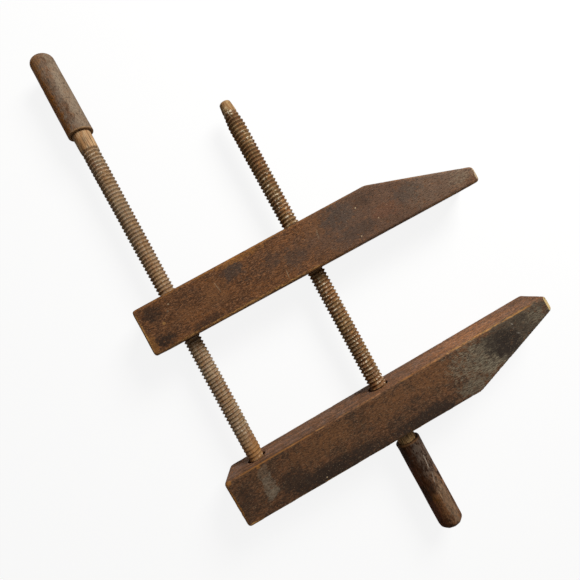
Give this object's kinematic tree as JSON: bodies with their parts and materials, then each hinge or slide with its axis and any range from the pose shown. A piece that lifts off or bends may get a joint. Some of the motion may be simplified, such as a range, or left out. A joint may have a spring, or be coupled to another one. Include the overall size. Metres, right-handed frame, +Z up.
{
  "type": "handscrew clamp",
  "caption": "All-wood handscrew clamp lying on its side: bevelled jaws that open and close along parallel wooden screws, each turned by a plain rounded handle.",
  "frame": {"origin": "on the bench side of the lower jaw, under the axis of the middle screw and at the middle of the jaw's depth there", "axes": "the clamp lies on its side: +X along the jaws to their tips, +Y along the screws from the lower jaw to the upper jaw, +Z up from the bench"},
  "size_m": [0.3787, 0.6462, 0.051],
  "materials": {
    "jaw_wood": "old oiled hardwood, dark brown patina, edges worn to orange brown",
    "screw_wood": "threaded hardwood, greyed tan, dull",
    "handle_wood": "turned hardwood, polished dark brown by hands"
  },
  "bodies": {
    "lower_jaw": {"lower_jaw": "jaw_wood"},
    "upper_jaw": {"upper_jaw": "jaw_wood"},
    "middle_screw": {"middle_screw": "screw_wood", "middle_handle": "handle_wood"},
    "end_screw": {"end_screw": "screw_wood", "end_handle": "handle_wood"}
  },
  "joints": [
    {"name": "middle_screw_turn", "type": "hinge", "parent": "lower_jaw", "child": "middle_screw", "pos_m": [0, 0, 0.0255], "axis": [0, 1, 0], "range_deg": [-10080, 11355]},
    {"name": "end_screw_turn", "type": "hinge", "parent": "lower_jaw", "child": "end_screw", "pos_m": [-0.1505, 0, 0.0255], "axis": [0, 1, 0], "range_deg": [-10080, 11355]},
    {"name": "jaw_travel", "type": "slide", "parent": "lower_jaw", "child": "upper_jaw", "axis": [0, 1, 0], "range_m": [-0.1335, 0.1185]}
  ],
  "couplings": [
    {"joint": "middle_screw_turn", "follows": "jaw_travel", "rad_per_m": -1484.2},
    {"joint": "end_screw_turn", "follows": "jaw_travel", "rad_per_m": -1484.2}
  ]
}
